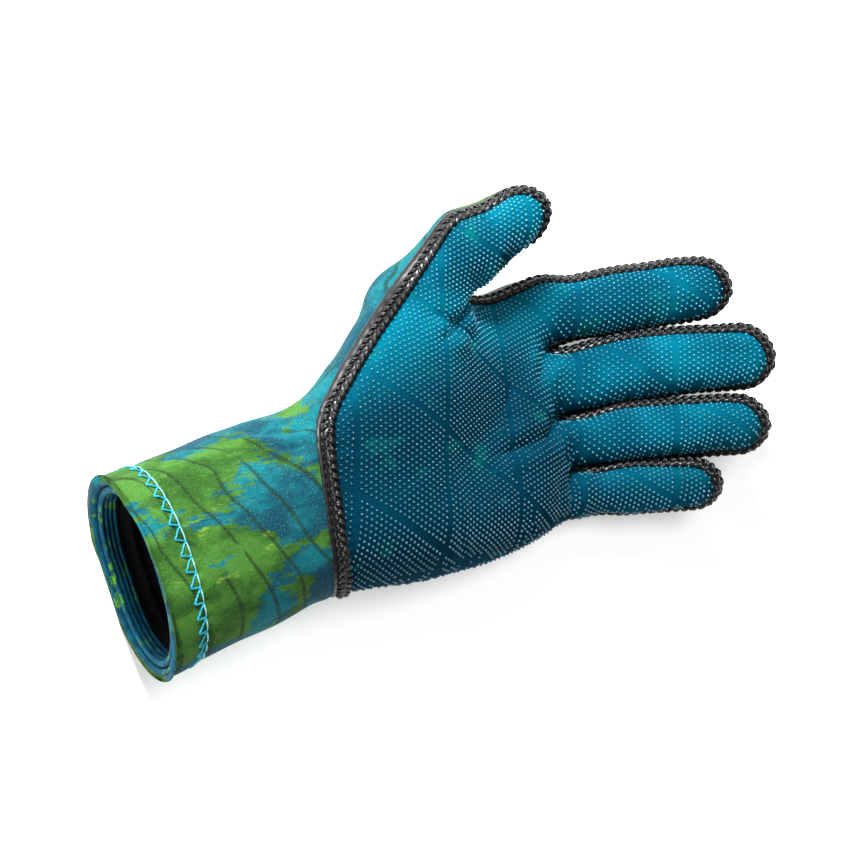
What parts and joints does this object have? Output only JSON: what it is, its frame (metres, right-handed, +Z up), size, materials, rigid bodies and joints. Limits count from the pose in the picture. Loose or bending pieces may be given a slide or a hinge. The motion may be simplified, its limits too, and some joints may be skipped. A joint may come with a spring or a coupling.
{
  "type": "neoprene diving glove",
  "caption": "Left-hand neoprene diving glove with a dotted grip palm, printed back and cuff, and raised black seams, lying palm up.",
  "frame": {"origin": "middle of the underside of the box around the glove, on the surface it lies on", "axes": "+X from the cuff's mouth to the fingertips, +Y to the thumb's side, +Z up out of the palm"},
  "size_m": [0.283, 0.1418, 0.0597],
  "materials": {
    "palm_neoprene": "teal jersey on neoprene with rubber grip dots",
    "printed_neoprene": "green and teal mottled print on brushed jersey",
    "facing_knit": "blue-green ribbed knit",
    "seam_thread": "black overlock thread over a smooth dark edge"
  },
  "bodies": {
    "root": {"palm_panel": "palm_neoprene", "back_panel": "printed_neoprene", "hem_facing": "facing_knit", "wrist_seam": "seam_thread", "thumb_seam": "seam_thread", "index_seam": "seam_thread", "middle_seam": "seam_thread", "ring_seam": "seam_thread", "little_seam": "seam_thread"}
  },
  "joints": []
}
